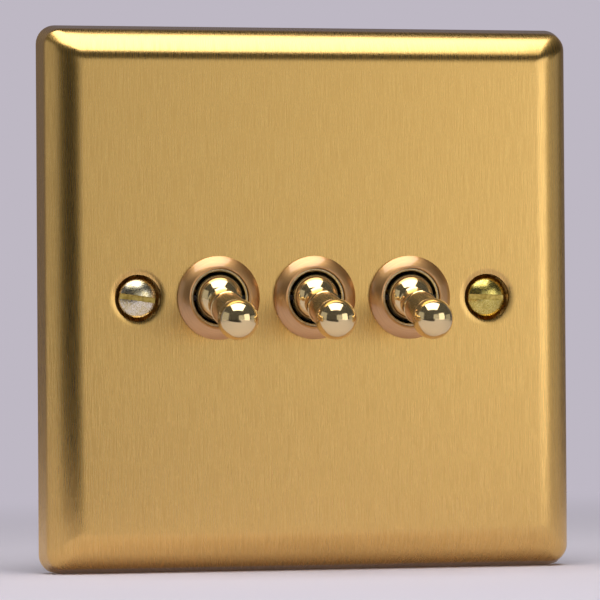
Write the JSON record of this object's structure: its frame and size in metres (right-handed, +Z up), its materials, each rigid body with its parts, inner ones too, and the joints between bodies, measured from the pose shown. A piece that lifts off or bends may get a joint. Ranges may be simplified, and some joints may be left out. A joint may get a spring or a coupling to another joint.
{
  "type": "three-gang toggle light switch",
  "caption": "Square brushed-brass wall plate with rolled edges and ball-ended toggle levers in domed collars, with moulded switch modules, terminals and earth strap behind it.",
  "frame": {"origin": "centre of the plate's rear rim, on the wall", "axes": "+Z up, +X to the right seen from the front, +Y into the wall"},
  "size_m": [0.0918, 0.0443, 0.0918],
  "materials": {
    "brushed_brass": "fine vertical brushing, clear lacquered",
    "satin_brass": "satin turned",
    "polished_brass": "polished",
    "screw_brass": "plated, polished",
    "nickel": "nickel plated, dull",
    "zinc_steel": "zinc plated",
    "spring_steel": "drawn wire",
    "terminal_brass": "pressed, unlacquered",
    "contact_silver": "silver alloy",
    "nylon": "moulded nylon",
    "phenolic": "moulded phenolic, dull"
  },
  "bodies": {
    "switch_body": {"front_plate": "brushed_brass", "mounting_strap": "zinc_steel", "earth_terminal": "terminal_brass", "earth_screw": "terminal_brass", "fixing_screws": "screw_brass", "collar_left": "satin_brass", "bush_left": "nickel", "lock_washer_left": "zinc_steel", "back_nut_left": "nickel", "pivot_pin_left": "zinc_steel", "frame_left": "zinc_steel", "case_left": "phenolic", "com_terminal_left": "terminal_brass", "l1_terminal_left": "terminal_brass", "l2_terminal_left": "terminal_brass", "fixed_contacts_left": "contact_silver", "terminal_screws_left": "zinc_steel", "collar_middle": "satin_brass", "bush_middle": "nickel", "lock_washer_middle": "zinc_steel", "back_nut_middle": "nickel", "pivot_pin_middle": "zinc_steel", "frame_middle": "zinc_steel", "case_middle": "phenolic", "com_terminal_middle": "terminal_brass", "l1_terminal_middle": "terminal_brass", "l2_terminal_middle": "terminal_brass", "fixed_contacts_middle": "contact_silver", "terminal_screws_middle": "zinc_steel", "collar_right": "satin_brass", "bush_right": "nickel", "lock_washer_right": "zinc_steel", "back_nut_right": "nickel", "pivot_pin_right": "zinc_steel", "frame_right": "zinc_steel", "case_right": "phenolic", "com_terminal_right": "terminal_brass", "l1_terminal_right": "terminal_brass", "l2_terminal_right": "terminal_brass", "fixed_contacts_right": "contact_silver", "terminal_screws_right": "zinc_steel"},
    "lever_left": {"lever_left": "polished_brass", "plunger_spring_left": "spring_steel"},
    "plunger_left": {"plunger_left": "nylon"},
    "rocker_left": {"rocker_left": "terminal_brass", "moving_contacts_left": "contact_silver"},
    "lever_middle": {"lever_middle": "polished_brass", "plunger_spring_middle": "spring_steel"},
    "plunger_middle": {"plunger_middle": "nylon"},
    "rocker_middle": {"rocker_middle": "terminal_brass", "moving_contacts_middle": "contact_silver"},
    "lever_right": {"lever_right": "polished_brass", "plunger_spring_right": "spring_steel"},
    "plunger_right": {"plunger_right": "nylon"},
    "rocker_right": {"rocker_right": "terminal_brass", "moving_contacts_right": "contact_silver"}
  },
  "joints": [
    {"name": "lever_left_throw", "type": "hinge", "parent": "switch_body", "child": "lever_left", "pos_m": [-0.0165, -0.0077, 0], "axis": [-1, 0, 0], "range_deg": [0, 28]},
    {"name": "rocker_left_tip", "type": "hinge", "parent": "switch_body", "child": "rocker_left", "pos_m": [-0.0165, 0.00552, 0], "axis": [-1, 0, 0], "range_deg": [-14, 0]},
    {"name": "plunger_left_press", "type": "slide", "parent": "lever_left", "child": "plunger_left", "axis": [0, -0.9703, -0.2419], "range_m": [0, 0.0008], "stiffness_N_per_m": 400, "springref_m": -0.0015, "deforming": ["plunger_spring_left"]},
    {"name": "lever_middle_throw", "type": "hinge", "parent": "switch_body", "child": "lever_middle", "pos_m": [0, -0.0077, 0], "axis": [-1, 0, 0], "range_deg": [0, 28]},
    {"name": "rocker_middle_tip", "type": "hinge", "parent": "switch_body", "child": "rocker_middle", "pos_m": [0, 0.00552, 0], "axis": [-1, 0, 0], "range_deg": [-14, 0]},
    {"name": "plunger_middle_press", "type": "slide", "parent": "lever_middle", "child": "plunger_middle", "axis": [0, -0.9703, -0.2419], "range_m": [0, 0.0008], "stiffness_N_per_m": 400, "springref_m": -0.0015, "deforming": ["plunger_spring_middle"]},
    {"name": "lever_right_throw", "type": "hinge", "parent": "switch_body", "child": "lever_right", "pos_m": [0.0165, -0.0077, 0], "axis": [-1, 0, 0], "range_deg": [0, 28]},
    {"name": "rocker_right_tip", "type": "hinge", "parent": "switch_body", "child": "rocker_right", "pos_m": [0.0165, 0.00552, 0], "axis": [-1, 0, 0], "range_deg": [-14, 0]},
    {"name": "plunger_right_press", "type": "slide", "parent": "lever_right", "child": "plunger_right", "axis": [0, -0.9703, -0.2419], "range_m": [0, 0.0008], "stiffness_N_per_m": 400, "springref_m": -0.0015, "deforming": ["plunger_spring_right"]}
  ],
  "couplings": [
    {"joint": "rocker_left_tip", "follows": "lever_left_throw", "ratio": -0.5},
    {"joint": "rocker_middle_tip", "follows": "lever_middle_throw", "ratio": -0.5},
    {"joint": "rocker_right_tip", "follows": "lever_right_throw", "ratio": -0.5}
  ]
}
